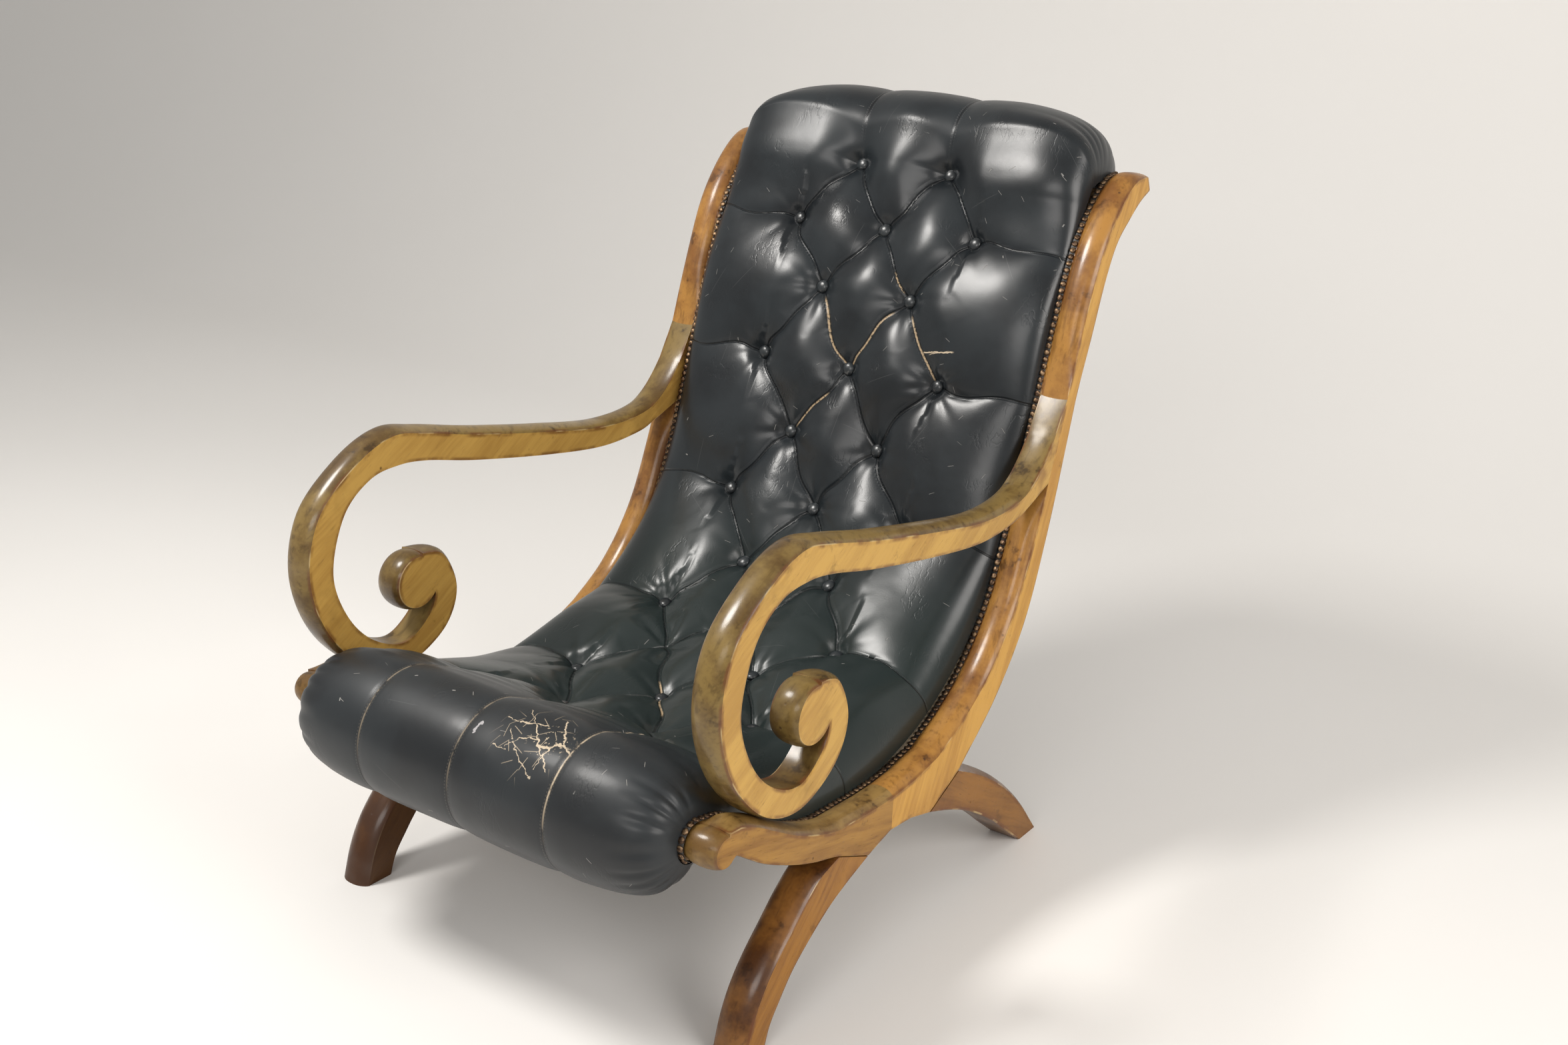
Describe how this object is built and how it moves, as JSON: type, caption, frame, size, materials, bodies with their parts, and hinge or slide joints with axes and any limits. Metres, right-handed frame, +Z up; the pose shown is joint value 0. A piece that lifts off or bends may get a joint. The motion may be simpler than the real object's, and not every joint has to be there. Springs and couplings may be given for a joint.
{
  "type": "armchair",
  "caption": "Buttoned leather scroll-arm library chair: two curved wooden side frames on sabre legs carry one tufted sweep of seat and back, with a stuffed roll at each end.",
  "frame": {"origin": "on the floor, under the middle of the chair's bounding box", "axes": "+Z up; -Y is the way a sitter faces, from the top roll to the front roll; +X is the sitter's left, the side nearer the camera in the picture"},
  "size_m": [0.66, 1.0642, 0.9937],
  "materials": {
    "worn_wood": "old golden-brown hardwood under worn polish, darker on the legs",
    "dark_leather": "glossy blue-black hide, creased and scratched",
    "button_leather": "the same hide over button moulds",
    "horsehair": "matted curled hair",
    "hessian": "plain coarse weave",
    "jute_web": "plain woven strap",
    "black_cloth": "thin dusty cotton",
    "old_brass": "tarnished dome-headed nails"
  },
  "bodies": {
    "root": {"left_back_stile": "worn_wood", "right_back_stile": "worn_wood", "left_seat_rail": "worn_wood", "right_seat_rail": "worn_wood", "left_front_leg": "worn_wood", "right_front_leg": "worn_wood", "left_rear_leg": "worn_wood", "right_rear_leg": "worn_wood", "left_scroll_arm": "worn_wood", "right_scroll_arm": "worn_wood", "top_rail": "worn_wood", "centre_rail": "worn_wood", "front_rail": "worn_wood", "leather_cover": "dark_leather", "outside_back": "dark_leather", "stuffing": "horsehair", "hessian": "hessian", "webbing_01": "jute_web", "webbing_02": "jute_web", "webbing_03": "jute_web", "webbing_04": "jute_web", "webbing_05": "jute_web", "webbing_06": "jute_web", "webbing_07": "jute_web", "webbing_08": "jute_web", "webbing_09": "jute_web", "webbing_10": "jute_web", "bottom_cloth": "black_cloth", "left_nail_strip": "old_brass", "right_nail_strip": "old_brass", "button_01": "button_leather", "button_02": "button_leather", "button_03": "button_leather", "button_04": "button_leather", "button_05": "button_leather", "button_06": "button_leather", "button_07": "button_leather", "button_08": "button_leather", "button_09": "button_leather", "button_10": "button_leather", "button_11": "button_leather", "button_12": "button_leather", "button_13": "button_leather", "button_14": "button_leather", "button_15": "button_leather", "button_16": "button_leather", "button_17": "button_leather", "button_18": "button_leather", "button_19": "button_leather", "button_20": "button_leather", "button_21": "button_leather", "button_22": "button_leather", "button_23": "button_leather", "button_24": "button_leather", "button_25": "button_leather", "button_26": "button_leather"}
  },
  "joints": []
}
